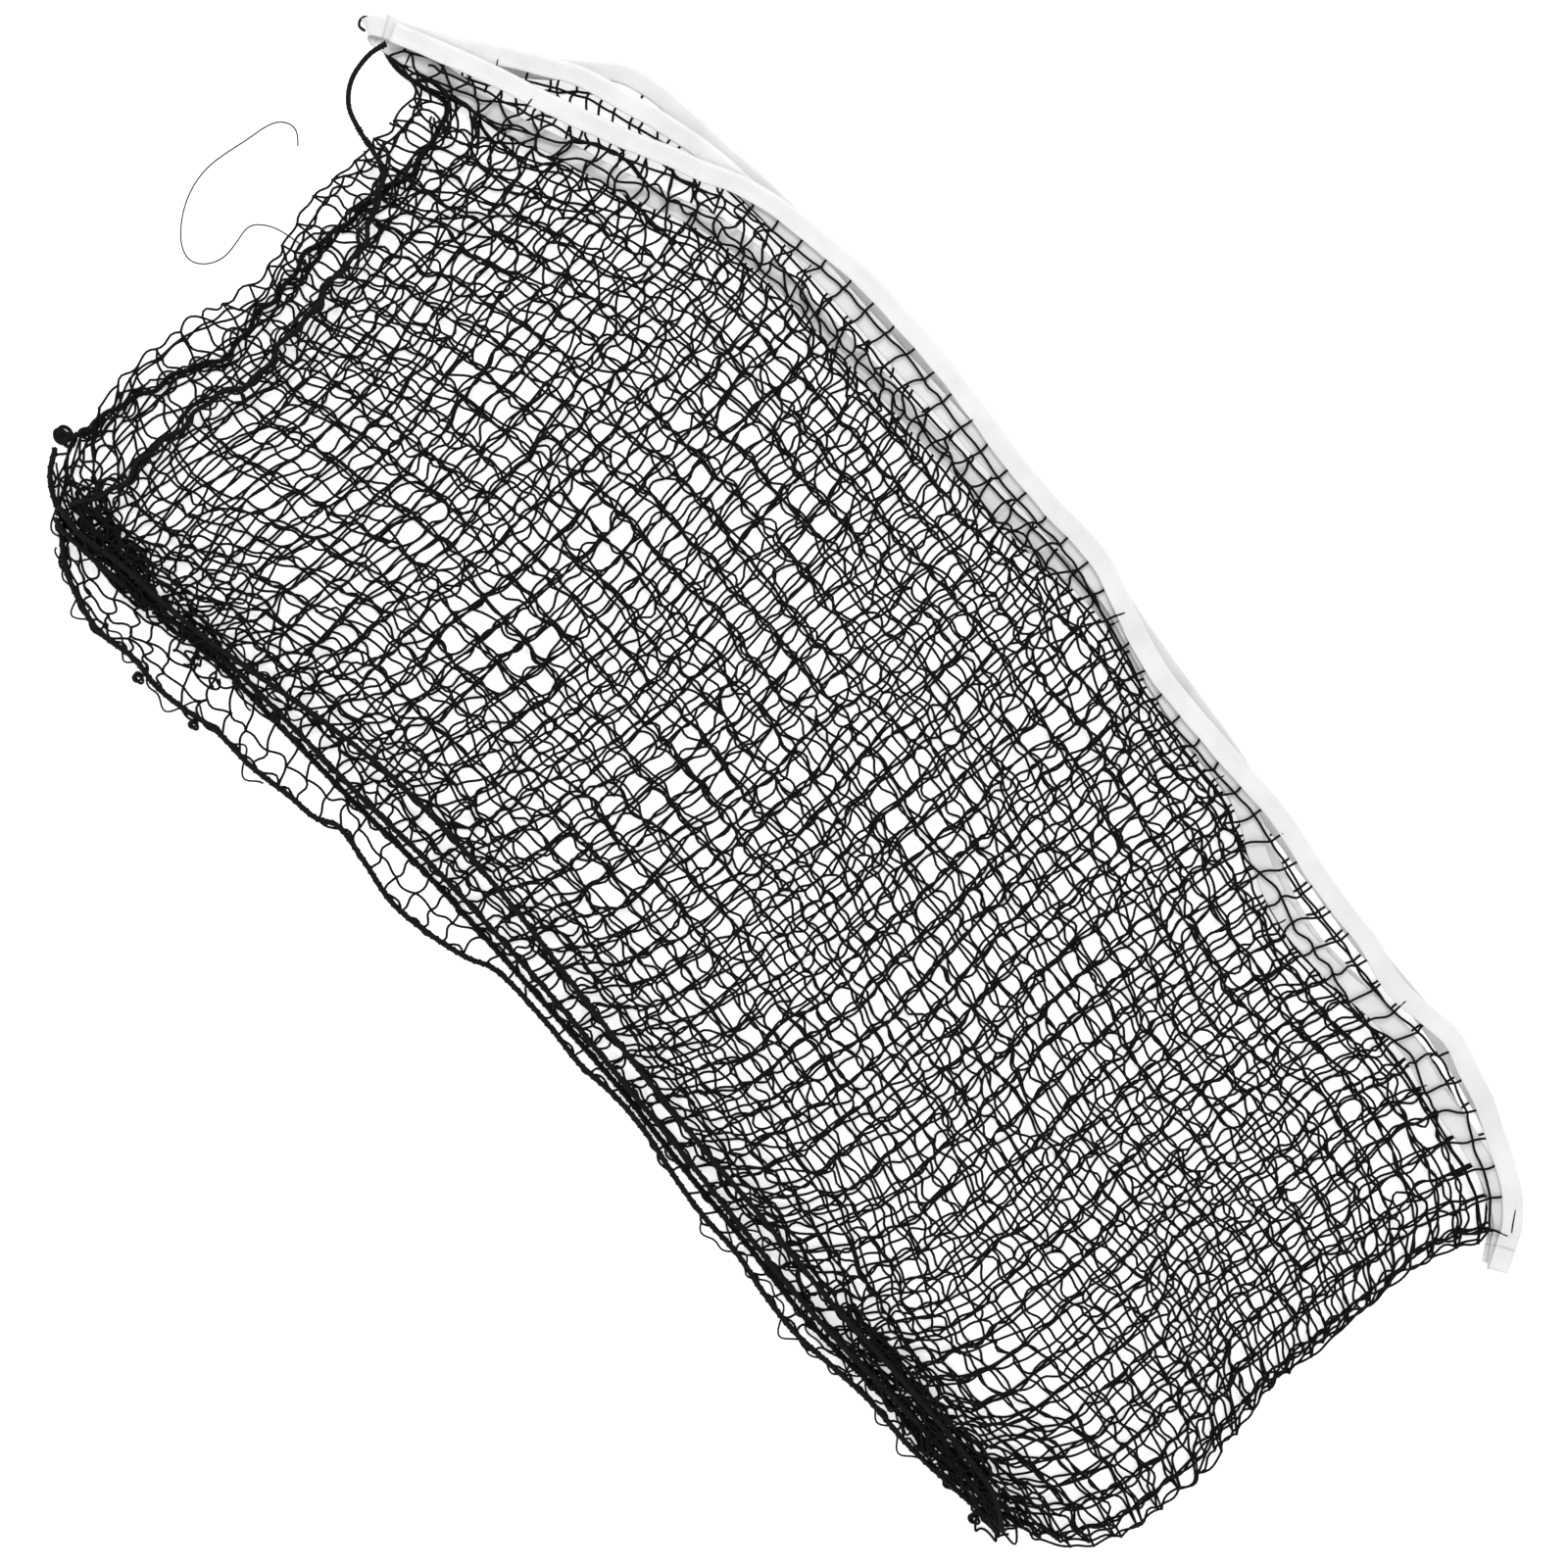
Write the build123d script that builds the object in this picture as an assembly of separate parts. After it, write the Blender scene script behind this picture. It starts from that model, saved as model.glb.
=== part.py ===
from build123d import *
import os
import math

# Tennis net, doubled up into four layers and laid flat. Millimetres.
# +X runs along the bundle, +Y towards the headband, +Z up from the floor.

# ---- driving dimensions -------------------------------------------------
LAYERS = 4                  # panels between the folds
LAYER_PITCH = 10.0          # height taken by each folded layer
BAND_WIDTH = 29.0           # headband as folded, from the net edge to the fold
BAND_HEIGHT = 8.0           # headband thickness over both plies and the head cord
PLY = 0.8                   # vinyl ply
NET_THICKNESS = 6.0         # knotted netting lying flat
NET_LIFT = 1.0              # netting above the underside of its layer
NET_IN_BAND = 8.0           # how far the netting runs into the headband
HEAD_CORD_D = 5.0           # cord in the closed edge of the headband
BOTTOM_CORD_D = 9.5         # roped cord along the lower edge
SIDE_CORD_D = 8.0           # cord down each free end
CORD_GAP = 2.5              # netting edge to the surface of its cord
STITCH_WIDTH = 1.2          # row of stitching along the headband
STITCH_DEPTH = 0.5
STITCH_INSET = 4.0          # stitching from the net edge of the band
THREAD_D = 2.0              # loose twine end
KNOT_SIZE = (38.0, 28.0, 9.4)
KNOT_BASE = 0.2
FOLD_CLEARANCE = 3.0        # solids stop this far short of a fold line

# ---- plan curves (x, y) -------------------------------------------------
HEM_LINE = {
    1: [
        (-1153.8, 307.9), (-1105, 328.7), (-1035.2, 377.6), (-923.6, 489.1), (-881.8, 507.3), (-826, 515.7),
        (-686.5, 529.6), (-547, 538), (-407.5, 542.2), (-128.5, 532.4), (11, 529.6), (80.8, 521.2),
        (150.5, 511.5), (220.2, 503.1), (359.8, 489.1), (429.5, 478), (569, 461.2), (708.5, 448.7),
        (848, 441.7), (987.5, 416.6), (1057.2, 390.1), (1110.3, 353.8), (1131.2, 319),
    ],
    2: [
        (-1151.9, 280.7), (-1105, 296.6), (-1035.2, 312), (-965.5, 328.7), (-895.8, 356.6), (-826, 380.3),
        (-770.2, 402.7), (-714.4, 426.4), (-658.6, 447.3), (-602.8, 457.1), (-547, 462.6), (-407.5, 468.2),
        (-128.5, 475.2), (-58.8, 478), (11, 483.6), (52.9, 490.5), (94.7, 491.9), (150.5, 486.4),
        (290, 464), (415.6, 455.7), (499.2, 433.4), (569, 408.2), (638.8, 394.3), (708.5, 394.3),
        (778.2, 399.9), (848, 398.5), (917.8, 385.9), (987.5, 374.8), (1057.2, 359.4), (1110.3, 331.5),
        (1131.2, 305),
    ],
    3: [
        (-1153.7, 306.6), (-1105, 338.5), (-1035.2, 390.1), (-951.6, 444.5), (-895.8, 464), (-826, 486.4),
        (-756.2, 503.1), (-686.5, 511.5), (-602.8, 512.9), (11, 511.5), (80.8, 508.7), (150.5, 494.7),
        (223, 478), (290, 466.8), (415.6, 457.1), (457.4, 441.7), (499.2, 419.4), (569, 395.7),
        (638.8, 385.9), (708.5, 387.3), (778.2, 395.7), (848, 395.7), (917.8, 380.3), (987.5, 372),
        (1057.2, 358), (1113, 332.9), (1135.4, 307.8),
    ],
    4: [
        (-1153.2, 298.6), (-1105, 321.8), (-1035.2, 352.4), (-965.5, 378.9), (-895.8, 408.2), (-826, 438.9),
        (-784.1, 461.2), (-742.3, 479.4), (-686.5, 507.3), (-644.6, 521.2), (-602.8, 531), (-510.7, 545),
        (-456.3, 549.1), (-358.7, 550.5), (-301.5, 547.7), (-201, 539.4), (-153.6, 533.8), (-100.6, 531),
        (-54.6, 529.6), (-5.7, 532.4), (38.9, 531), (83.5, 519.8), (128.2, 505.9), (178.4, 493.3),
        (223, 485), (290, 480.8), (443.4, 478), (492.3, 475.2), (529.9, 469.6), (569, 462.6),
        (613.6, 457.1), (655.5, 452.9), (702.9, 450.1), (744.8, 440.3), (792.2, 437.5), (841, 444.5),
        (881.5, 447.3), (973.6, 422.2), (1015.4, 402.7), (1057.2, 384.5), (1092.1, 366.4), (1122.8, 338.5),
        (1138.2, 313.4),
    ],
}
FOOT_LINE = {
    1: [
        (-1068.7, -449.7), (-1042.2, -483.2), (-993.4, -506.9), (-937.6, -509.7), (-881.8, -499.9), (-686.5, -481.8),
        (-407.5, -470.6), (-268, -462.2), (11, -460.8), (150.5, -462.2), (290, -470.6), (429.5, -476.2),
        (569, -484.6), (708.5, -477.6), (848, -476.2), (917.8, -481.8), (948.4, -487.4),
    ],
    2: [
        (-968.3, -525), (-930.6, -551.5), (-881.8, -568.3), (-833, -576.6), (-770.2, -565.5), (-721.4, -568.3),
        (-672.5, -561.3), (-616.8, -547.3), (-547, -544.5), (-477.2, -532), (-428.4, -525), (-400.5, -509.7),
        (-337.8, -515.2), (-268, -525), (-198.2, -515.2), (-135.5, -497.1), (-100.6, -480.4), (11, -476.2),
        (80.8, -480.4), (150.5, -473.4), (220.2, -476.2), (290, -487.4), (359.8, -494.3), (429.5, -494.3),
        (499.2, -504.1), (569, -508.3), (708.5, -494.3), (792.2, -495.7), (875.9, -488.7), (948.4, -480.4),
    ],
    3: [
        (-965.5, -518), (-895.8, -511.1), (-826, -499.9), (-756.2, -484.6), (-686.5, -470.6), (-547, -462.2),
        (-407.5, -456.7), (-268, -446.9), (-128.5, -444.1), (11, -445.5), (290, -456.7), (429.5, -465),
        (569, -470.6), (848, -462.2), (917.8, -467.8), (951.2, -474.8),
    ],
    4: [
        (-996.2, -498.5), (-951.6, -502.7), (-881.8, -488.7), (-798.1, -480.4), (-714.4, -467.8), (-519.1, -423.2),
        (-407.5, -405), (-268, -398.1), (-128.5, -400.9), (150.5, -421.8), (290, -428.8), (429.5, -432.9),
        (569, -439.9), (708.5, -438.5), (848, -442.7), (917.8, -449.7), (948.4, -462.2),
    ],
}
SIDE_LINE = {
    1: [
        (-1147.1, 273), (-1098, 282.7), (-1060.4, 291.1), (-1038, 259), (-1029.7, 217.1), (-1022.7, 175.3),
        (-1024.1, 126.4), (-1032.5, 77.6), (-1032.5, 28.8), (-1028.3, -27), (-1007.4, -145.6), (-1010.1, -201.4),
        (-1028.3, -250.2), (-1045, -306), (-1050.6, -361.8), (-1060.4, -406.4), (-1070.1, -437.1),
    ],
    4: [
        (-1140.7, 184), (-1105, 172.5), (-1070.1, 166.9), (-1035.2, 151.6), (-1011.5, 123.7), (-979.5, 42.8),
        (-962.7, -68.8), (-951.6, -124.7), (-950.2, -173.5), (-961.3, -229.3), (-968.3, -292.1), (-965.5, -354.8),
        (-965.5, -410.6), (-975.3, -459.4), (-989.2, -487.4),
    ],
}
RIGHT_EDGE = [
        (1115.8, 291.1), (1100.5, 259), (1087.9, 224.1), (1082.4, 112.5), (1078.2, -27), (1076.8, -82.8),
        (1087.9, -124.7), (1093.5, -166.5), (1097.7, -236.2), (1097.7, -306), (1089.3, -359), (1068.4, -400.9),
        (1036.3, -434.3), (987.5, -459.4),
    ]
LEFT_EDGE = [
        (-1158, 282.7), (-1121.7, 275.7), (-1091, 256.2), (-1086.9, 182.2), (-1086.9, 98.5), (-1075.7, 28.8),
        (-1061.8, -27), (-1053.4, -82.8), (-1060.4, -138.6), (-1071.5, -222.3), (-1077.1, -292.1), (-1068.7, -347.9),
        (-1056.2, -410.6), (-1035.2, -462.2), (-1004.6, -498.5),
    ]
THREAD_ROUTE = [
        (-1049.2, 3.7, 6), (-1078.5, -1.9, 4.5), (-1103.6, -13.1, 2.2), (-1121.7, -32.6, 1.1), (-1114.8, -60.5, 1.1),
        (-1109.2, -88.4, 1.1), (-1117.6, -113.5, 1.1), (-1137.1, -130.2, 1.1), (-1160.8, -126, 1.1), (-1183.1, -107.9, 1.1),
        (-1202.7, -82.8, 1.1), (-1216.6, -52.1, 1.1), (-1222.2, -18.6, 1.1), (-1218, 17.6, 1.1), (-1212.4, 49.7, 1.1),
        (-1209.6, 79, 1.1), (-1201.3, 99.9, 1.1), (-1183.1, 109.7, 1.1), (-1167.8, 104.1, 1.1), (-1158, 94.4, 1.1),
    ]
FOLD_LINE_RIGHT = [(1157.7, 307.8), (1092.1, -445.5)]
FOLD_LINE_LEFT = [(-1158.0, 307.8), (-1103.6, -445.5)]
KNOT_AT = (-1071.5, -428.8)
NET_START = {1: -1110.0}    # x where the netting of the free end begins under the headband
NET_CUT = {1: 306.0, 4: 172.0}   # y below which the free end follows its side cord
NET_FOOT = {4: -974.0}      # x where the lower edge of the free end begins, clear of its side cord

os.makedirs("parts", exist_ok=True)


def base(k):
    return LAYER_PITCH * (k - 1)


def unit(a, b):
    dx, dy = b[0] - a[0], b[1] - a[1]
    n = math.hypot(dx, dy)
    return dx / n, dy / n


def offset(line, d):
    """Line moved d to its left."""
    out = []
    for i, p in enumerate(line):
        if i == 0:
            tx, ty = unit(line[0], line[1])
        elif i == len(line) - 1:
            tx, ty = unit(line[-2], line[-1])
        else:
            a, b = unit(line[i - 1], p), unit(p, line[i + 1])
            tx, ty = a[0] + b[0], a[1] + b[1]
            n = math.hypot(tx, ty)
            tx, ty = tx / n, ty / n
            # mitre so that the strip keeps its width
            c = max(0.5, a[0] * tx + a[1] * ty)
            tx, ty = tx / c, ty / c
        out.append((p[0] - ty * d, p[1] + tx * d))
    return out


def prism(outline, z0, z1):
    face = make_face(Polyline(*[(x, y, z0) for x, y in outline], close=True))
    solid = extrude(face, amount=z1 - z0, dir=(0, 0, 1))
    return solid


def inside_line(p, line, margin, sign):
    (x0, y0), (x1, y1) = line
    x = x0 + (x1 - x0) * (p[1] - y0) / (y1 - y0)
    return (p[0] - x) * sign >= margin


def fold_zone(z0, z1):
    """Everything between the two fold lines, less the clearance."""
    def at(line, y, d):
        (x0, y0), (x1, y1) = line
        return x0 + (x1 - x0) * (y - y0) / (y1 - y0) + d, y
    lo, hi = -800.0, 800.0
    return prism([at(FOLD_LINE_LEFT, lo, FOLD_CLEARANCE), at(FOLD_LINE_RIGHT, lo, -FOLD_CLEARANCE),
                  at(FOLD_LINE_RIGHT, hi, -FOLD_CLEARANCE), at(FOLD_LINE_LEFT, hi, FOLD_CLEARANCE)], z0, z1)


def rope_path(points, least):
    """Straight runs joined by tangent arcs."""
    pts = [Vector(*p) for p in points]
    edges, at, radii = [], pts[0], []
    for i in range(1, len(pts) - 1):
        a, b, c = pts[i - 1], pts[i], pts[i + 1]
        u, v = (b - a).normalized(), (c - b).normalized()
        turn = math.acos(max(-1.0, min(1.0, u.dot(v))))
        run = min((b - a).length, (c - b).length)
        r = 0.45 * run / math.tan(turn / 2)
        cut = 0.45 * run
        s, e = b - u * cut, b + v * cut
        half = (v - u).normalized()
        mid = b + half * (r / math.cos(turn / 2) - r)
        if (s - at).length > 1e-6:
            edges.append(Edge.make_line(at, s))
        edges.append(Edge.make_three_point_arc(s, mid, e))
        at = e
        radii.append(r)
    edges.append(Edge.make_line(at, pts[-1]))
    if radii and min(radii) < least:
        print("  tight bend", round(min(radii), 1), "wanted", least)
    return Wire(edges), radii


def rope(points, d, least=None):
    path, radii = rope_path(points, least if least else 3.0 * d)
    start = Plane(origin=path @ 0, z_dir=path % 0)
    solid = sweep(start * Circle(d / 2), path=path)
    want = math.pi * d * d / 4 * path.length
    print("  length %.1f  volume %.1f  section x length %.1f  least radius %.1f" % (
        path.length, solid.volume, want, min(radii)))
    return solid


def flat(line, z):
    return [(x, y, z) for x, y in line]


parts = {}

for k in range(1, LAYERS + 1):
    z = base(k)
    hem = HEM_LINE[k]
    zone = fold_zone(z - 1, z + LAYER_PITCH + 20)

    # headband: two plies joined along the closed outer edge
    outer = offset(hem, BAND_WIDTH)
    band = prism(hem + outer[::-1], z, z + BAND_HEIGHT)
    hollow = prism(offset(hem, -3.0) + offset(hem, BAND_WIDTH - PLY)[::-1], z + PLY, z + BAND_HEIGHT - PLY)
    groove = prism(offset(hem, STITCH_INSET) + offset(hem, STITCH_INSET + STITCH_WIDTH)[::-1],
                   z + BAND_HEIGHT - STITCH_DEPTH, z + BAND_HEIGHT)
    parts["headband_%d" % k] = (band - hollow - groove) & zone
    parts["headband_stitching_%d" % k] = groove & zone

    # head cord in the closed edge
    cord_line = offset(hem, BAND_WIDTH - PLY - HEAD_CORD_D / 2 - 2.0)
    print("head_cord_%d" % k)
    parts["head_cord_%d" % k] = rope(flat(cord_line, z + BAND_HEIGHT / 2), HEAD_CORD_D) & zone

    # bottom cord
    print("bottom_cord_%d" % k)
    foot = FOOT_LINE[k]
    parts["bottom_cord_%d" % k] = rope(flat(foot, z + BOTTOM_CORD_D / 2), BOTTOM_CORD_D) & zone

    # netting, as one flat panel from inside the headband to the bottom cord
    top = [p for p in offset(hem, NET_IN_BAND) if p[0] > NET_START.get(k, -1e9)]
    low = offset(foot, BOTTOM_CORD_D / 2 + CORD_GAP)
    if k in NET_FOOT:
        (x0, y0), (x1, y1) = low[0], low[1]
        low[0] = (NET_FOOT[k], y0 + (y1 - y0) * (NET_FOOT[k] - x0) / (x1 - x0))
    right = [p for p in RIGHT_EDGE if p[1] > low[-1][1] + 6 and p[1] < top[-1][1] - 6]
    if k in SIDE_LINE:
        side = offset(SIDE_LINE[k], SIDE_CORD_D / 2 + CORD_GAP + 1.0)
        left = [p for p in LEFT_EDGE if p[1] > NET_CUT[k]] + [p for p in side if p[1] <= NET_CUT[k] and p[1] > low[0][1] + 6]
    else:
        left = [p for p in LEFT_EDGE if p[1] > low[0][1] + 6]
    left = [p for p in left if p[1] < top[0][1] - 6]
    outline = left + low + right[::-1] + top[::-1]
    net = prism(outline, z + NET_LIFT, z + NET_LIFT + NET_THICKNESS) & zone
    parts["netting_%d" % k] = net

for k, name in ((1, "side_cord_start"), (4, "side_cord_finish")):
    print(name)
    parts[name] = rope(flat(SIDE_LINE[k], base(k) + SIDE_CORD_D / 2 + 0.5), SIDE_CORD_D) & fold_zone(base(k), base(k) + 20)

# knot that gathers the finishing side cord
knot = Sphere(0.5)
knot = scale(knot, by=KNOT_SIZE)
parts["corner_knot"] = Pos(KNOT_AT[0], KNOT_AT[1], KNOT_BASE + KNOT_SIZE[2] / 2) * knot

print("loose_thread")
parts["loose_thread"] = rope(THREAD_ROUTE, THREAD_D, 3.0 * THREAD_D)

lo = [1e9] * 3
hi = [-1e9] * 3
for name, solid in parts.items():
    s = solid.solids()
    bb = solid.bounding_box()
    print("%-24s solids %d  volume %10.1f  valid %s" % (name, len(s), solid.volume, all(q.is_valid for q in s)))
    if name != "loose_thread":
        lo = [min(a, b) for a, b in zip(lo, bb.min)]
        hi = [max(a, b) for a, b in zip(hi, bb.max)]
    export_step(s[0] if len(s) == 1 else Compound(s), "parts/%s.step" % name)
print("box", [round(v, 2) for v in lo], [round(v, 2) for v in hi])
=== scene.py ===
import math

import bpy
import numpy as np
from mathutils import Vector, Matrix


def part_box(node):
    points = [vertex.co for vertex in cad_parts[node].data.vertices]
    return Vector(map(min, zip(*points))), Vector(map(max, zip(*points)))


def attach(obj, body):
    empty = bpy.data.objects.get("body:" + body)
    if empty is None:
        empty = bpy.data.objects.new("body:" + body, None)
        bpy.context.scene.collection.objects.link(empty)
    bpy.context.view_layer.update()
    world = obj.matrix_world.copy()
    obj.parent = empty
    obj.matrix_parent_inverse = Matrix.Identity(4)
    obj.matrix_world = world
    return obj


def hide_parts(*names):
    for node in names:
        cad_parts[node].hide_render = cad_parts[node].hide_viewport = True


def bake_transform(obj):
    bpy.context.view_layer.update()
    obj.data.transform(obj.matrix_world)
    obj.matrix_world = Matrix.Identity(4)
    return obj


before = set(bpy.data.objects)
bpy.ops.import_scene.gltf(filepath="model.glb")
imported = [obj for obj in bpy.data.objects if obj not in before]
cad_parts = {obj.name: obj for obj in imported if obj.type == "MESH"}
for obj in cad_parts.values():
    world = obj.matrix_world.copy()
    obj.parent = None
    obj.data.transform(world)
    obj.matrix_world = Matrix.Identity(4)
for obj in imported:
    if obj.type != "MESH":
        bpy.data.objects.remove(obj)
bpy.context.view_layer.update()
rng = np.random.default_rng(830)

# ---- sizes, metres -------------------------------------------------------
PITCH = 0.010            # one folded layer
MESH = 0.0466            # square of the netting
TWINE_R = 0.00185
BAND_W = 0.029
COLS, ROWS = 54, 24      # strands across and down one layer
PX = 0.001395            # unit that the irregularities below are counted in

# ---- plan curves, metres ---------------------------------------------------
HEM = {
    1: [
        (-1.19986, 0.28827), (-1.105, 0.32873), (-1.03525, 0.37755), (-0.9655, 0.4473), (-0.92365, 0.48915),
        (-0.8818, 0.50728), (-0.826, 0.51565), (-0.75625, 0.52263), (-0.6865, 0.5296), (-0.61675, 0.53379),
        (-0.547, 0.53797), (-0.4075, 0.54216), (-0.268, 0.53797), (-0.1285, 0.53239), (0.011, 0.5296),
        (0.08075, 0.52124), (0.1505, 0.51147), (0.22025, 0.5031), (0.29, 0.49612), (0.35975, 0.48915),
        (0.4295, 0.47799), (0.569, 0.46125), (0.7085, 0.4487), (0.848, 0.44172), (0.9875, 0.41661),
        (1.05725, 0.39011), (1.11026, 0.35383), (1.13118, 0.31896),
    ],
    2: [
        (-1.17475, 0.27293), (-1.105, 0.29664), (-1.03525, 0.31199), (-0.9655, 0.32873), (-0.89575, 0.35663),
        (-0.826, 0.38034), (-0.7702, 0.40266), (-0.7144, 0.42638), (-0.6586, 0.4473), (-0.6028, 0.45706),
        (-0.547, 0.46264), (-0.47725, 0.46543), (-0.4075, 0.46823), (-0.268, 0.47101), (-0.1285, 0.4752),
        (-0.05875, 0.47799), (0.011, 0.48357), (0.05285, 0.49054), (0.0947, 0.49194), (0.1505, 0.48636),
        (0.22025, 0.4752), (0.29, 0.46404), (0.41555, 0.45567), (0.49925, 0.43335), (0.569, 0.40824),
        (0.63875, 0.39429), (0.7085, 0.39429), (0.77825, 0.39987), (0.848, 0.39848), (0.91775, 0.38592),
        (0.9875, 0.37476), (1.05725, 0.35942), (1.11026, 0.33152), (1.13118, 0.30501),
    ],
    3: [
        (-1.18591, 0.28548), (-1.105, 0.33849), (-1.03525, 0.39011), (-0.98643, 0.42219), (-0.95155, 0.44451),
        (-0.89575, 0.46404), (-0.826, 0.48636), (-0.75625, 0.5031), (-0.6865, 0.51147), (-0.6028, 0.51287),
        (-0.4075, 0.51147), (-0.1285, 0.51147), (0.011, 0.51147), (0.08075, 0.50868), (0.1505, 0.49473),
        (0.22304, 0.47799), (0.29, 0.46683), (0.35975, 0.46125), (0.41555, 0.45706), (0.4574, 0.44172),
        (0.49925, 0.4194), (0.569, 0.39569), (0.63875, 0.38592), (0.7085, 0.38732), (0.77825, 0.39569),
        (0.848, 0.39569), (0.91775, 0.38034), (0.9875, 0.37197), (1.05725, 0.35802), (1.11305, 0.33291),
        (1.13537, 0.3078),
    ],
    4: [
        (-1.17475, 0.28827), (-1.105, 0.32175), (-1.03525, 0.35244), (-0.9655, 0.37894), (-0.89575, 0.40824),
        (-0.826, 0.43893), (-0.78415, 0.46125), (-0.7423, 0.47939), (-0.6865, 0.50728), (-0.64465, 0.52124),
        (-0.6028, 0.531), (-0.55816, 0.53797), (-0.51073, 0.54495), (-0.45632, 0.54914), (-0.35868, 0.55053),
        (-0.30148, 0.54774), (-0.25126, 0.54356), (-0.20104, 0.53937), (-0.15361, 0.53379), (-0.1006, 0.531),
        (-0.05456, 0.5296), (-0.00574, 0.53239), (0.0389, 0.531), (0.08354, 0.51984), (0.12818, 0.50589),
        (0.1784, 0.49334), (0.22304, 0.48497), (0.29, 0.48078), (0.35975, 0.47939), (0.44345, 0.47799),
        (0.49228, 0.4752), (0.52994, 0.46962), (0.569, 0.46264), (0.61364, 0.45706), (0.65549, 0.45288),
        (0.70292, 0.45009), (0.74477, 0.44032), (0.7922, 0.43754), (0.84103, 0.44451), (0.88148, 0.4473),
        (0.9317, 0.43335), (0.97355, 0.42219), (1.0154, 0.40266), (1.05725, 0.38452), (1.09213, 0.36639),
        (1.12282, 0.33849), (1.13816, 0.31338),
    ],
}
FOOT = {
    1: [
        (-1.06873, -0.44969), (-1.04222, -0.48317), (-0.9934, -0.50688), (-0.9376, -0.50967), (-0.8818, -0.49991),
        (-0.826, -0.49433), (-0.6865, -0.48177), (-0.547, -0.47619), (-0.4075, -0.47061), (-0.268, -0.46224),
        (-0.1285, -0.46085), (0.011, -0.46085), (0.1505, -0.46224), (0.29, -0.47061), (0.4295, -0.47619),
        (0.569, -0.48456), (0.7085, -0.47758), (0.848, -0.47619), (0.91775, -0.48177), (0.94844, -0.48735),
    ],
    2: [
        (-0.96829, -0.52502), (-0.93063, -0.55152), (-0.8818, -0.56826), (-0.83298, -0.57663), (-0.7702, -0.56547),
        (-0.72137, -0.56826), (-0.67255, -0.56128), (-0.61675, -0.54734), (-0.547, -0.54454), (-0.47725, -0.53199),
        (-0.42843, -0.52502), (-0.40052, -0.50967), (-0.33775, -0.51525), (-0.268, -0.52502), (-0.19825, -0.51525),
        (-0.13547, -0.49712), (-0.1006, -0.48037), (0.011, -0.47619), (0.08075, -0.48037), (0.1505, -0.4734),
        (0.22025, -0.47619), (0.29, -0.48735), (0.35975, -0.49433), (0.4295, -0.49433), (0.49925, -0.50409),
        (0.569, -0.50828), (0.63875, -0.5013), (0.7085, -0.49433), (0.7922, -0.49572), (0.8759, -0.48874),
        (0.94844, -0.48037),
    ],
    3: [
        (-0.9655, -0.51804), (-0.89575, -0.51106), (-0.826, -0.49991), (-0.75625, -0.48456), (-0.6865, -0.47061),
        (-0.547, -0.46224), (-0.4075, -0.45666), (-0.268, -0.44689), (-0.1285, -0.44411), (0.011, -0.4455),
        (0.1505, -0.45108), (0.29, -0.45666), (0.4295, -0.46503), (0.569, -0.47061), (0.7085, -0.46643),
        (0.848, -0.46224), (0.91775, -0.46782), (0.95123, -0.4748),
    ],
    4: [
        (-0.99619, -0.49851), (-0.95155, -0.5027), (-0.8818, -0.48874), (-0.7981, -0.48037), (-0.7144, -0.46782),
        (-0.61675, -0.4455), (-0.5191, -0.42318), (-0.4075, -0.40504), (-0.268, -0.39807), (-0.1285, -0.40086),
        (0.011, -0.41202), (0.1505, -0.42179), (0.29, -0.42876), (0.4295, -0.43294), (0.569, -0.43992),
        (0.7085, -0.43852), (0.848, -0.44271), (0.91775, -0.44969), (0.94844, -0.46224),
    ],
}
SIDE = {
    1: [
        (-1.1887, 0.30222), (-1.18312, 0.28269), (-1.14685, 0.27293), (-1.09803, 0.28269), (-1.06036, 0.29106),
        (-1.03804, 0.25898), (-1.02967, 0.21713), (-1.02269, 0.17528), (-1.02409, 0.12645), (-1.03246, 0.07762),
        (-1.03246, 0.0288), (-1.02828, -0.027), (-1.01711, -0.08978), (-1.00735, -0.14557), (-1.01014, -0.20137),
        (-1.02828, -0.2502), (-1.04502, -0.306), (-1.05059, -0.3618), (-1.06036, -0.40644), (-1.07012, -0.43713),
    ],
    4: [
        (-1.17196, 0.30641), (-1.17475, 0.28269), (-1.17893, 0.25618), (-1.16917, 0.21294), (-1.14406, 0.18504),
        (-1.105, 0.17249), (-1.07012, 0.1669), (-1.03525, 0.15156), (-1.01154, 0.12366), (-0.99619, 0.0846),
        (-0.97945, 0.04275), (-0.97108, -0.01305), (-0.96271, -0.06885), (-0.95155, -0.12465), (-0.95015, -0.17347),
        (-0.96132, -0.22928), (-0.96829, -0.29205), (-0.9655, -0.35483), (-0.9655, -0.41063), (-0.97526, -0.45945),
        (-0.98922, -0.48735),
    ],
}
RIGHT = [
    (1.11584, 0.29106), (1.1005, 0.25898), (1.08794, 0.2241), (1.08236, 0.1125), (1.07817, -0.027),
    (1.07678, -0.0828), (1.08794, -0.12465), (1.09352, -0.1665), (1.0977, -0.23625), (1.0977, -0.306),
    (1.08933, -0.35901), (1.06841, -0.40086), (1.03632, -0.43434), (0.9875, -0.45945),
]
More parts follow.
